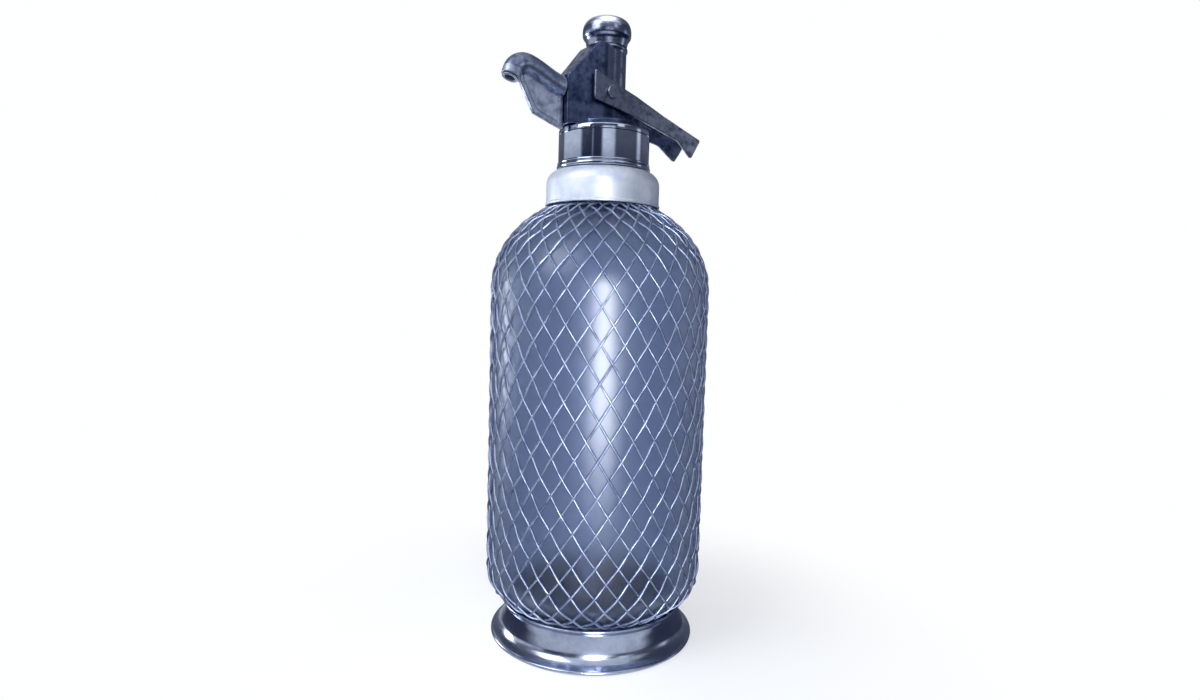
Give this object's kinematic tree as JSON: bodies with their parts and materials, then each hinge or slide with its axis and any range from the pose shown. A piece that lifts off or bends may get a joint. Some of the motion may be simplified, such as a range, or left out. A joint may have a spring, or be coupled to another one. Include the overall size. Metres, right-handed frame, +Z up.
{
  "type": "soda siphon",
  "caption": "Soda siphon: glass bottle in a wire net on a flared foot, with a screwed head, curved spout, thumb lever, spring valve and domed gas charging cap.",
  "frame": {"origin": "on the bottle's axis, on the surface that the siphon stands on", "axes": "+Z up along the bottle; the spout points along -X and the thumb lever along +X"},
  "size_m": [0.1136, 0.1076, 0.303],
  "materials": {
    "bottle_glass": "thick pressed glass, cool blue-grey",
    "net_wire": "dulled steel wire",
    "nut_chrome": "bright plating",
    "head_metal": "plated casting, slightly worn",
    "lever_metal": "plated, slightly worn",
    "foot_metal": "spun metal, satin",
    "collar": "pale satin",
    "brass": "turned, unplated",
    "steel": "plain",
    "tube": "milky plastic tube",
    "rubber": "black, matt",
    "felt": "dark matt disc"
  },
  "bodies": {
    "bottle": {"foot_pad": "felt", "foot": "foot_metal", "foot_cushion": "rubber", "glass_bottle": "bottle_glass", "wire_net": "net_wire", "neck_collar": "collar", "neck_ring_left": "brass", "neck_ring_right": "brass", "neck_seal": "rubber"},
    "head": {"head_body": "head_metal", "head_flange": "brass", "spout": "head_metal", "nozzle_tip": "nut_chrome", "lever_pin": "steel", "pin_clip": "steel", "gland_packing": "rubber", "gland_ring": "brass", "valve_seat": "brass", "valve_plug": "brass", "valve_spring": "steel", "dip_tube": "tube", "dip_tube_bush": "brass", "piercing_pin": "steel", "check_sleeve": "rubber"},
    "union_nut": {"union_nut": "nut_chrome"},
    "lever": {"lever": "lever_metal"},
    "valve": {"valve_stem": "steel", "valve_washer": "rubber", "valve_disc": "brass"},
    "cap_washer": {"cap_washer": "rubber"},
    "charging_cap": {"charging_cap": "nut_chrome"}
  },
  "joints": [
    {"name": "head_rise", "type": "slide", "parent": "bottle", "child": "head", "axis": [0, 0, 1], "range_m": [0, 0.005]},
    {"name": "nut_turn", "type": "hinge", "parent": "head", "child": "union_nut", "pos_m": [0, 0, 0.2297], "axis": [0, 0, 1], "range_deg": [0, 720]},
    {"name": "lever_press", "type": "hinge", "parent": "head", "child": "lever", "pos_m": [-0.004, 0, 0.265], "axis": [0, 1, 0], "range_deg": [0, 6], "stiffness_Nm_per_rad": 1.5, "springref_deg": -1.72},
    {"name": "valve_slide", "type": "slide", "parent": "head", "child": "valve", "axis": [0, 0, -1], "range_m": [0, 0.00134], "deforming": ["valve_spring"]},
    {"name": "cap_rise", "type": "slide", "parent": "head", "child": "cap_washer", "axis": [0, 0, 1], "range_m": [0, 0.0045]},
    {"name": "cap_turn", "type": "hinge", "parent": "cap_washer", "child": "charging_cap", "pos_m": [0, 0, 0.2886], "axis": [0, 0, 1], "range_deg": [0, 1080]}
  ],
  "couplings": [
    {"joint": "nut_turn", "follows": "head_rise", "rad_per_m": 2513.3},
    {"joint": "lever_press", "follows": "valve_slide", "rad_per_m": 78.125},
    {"joint": "cap_turn", "follows": "cap_rise", "rad_per_m": 4188.8}
  ]
}
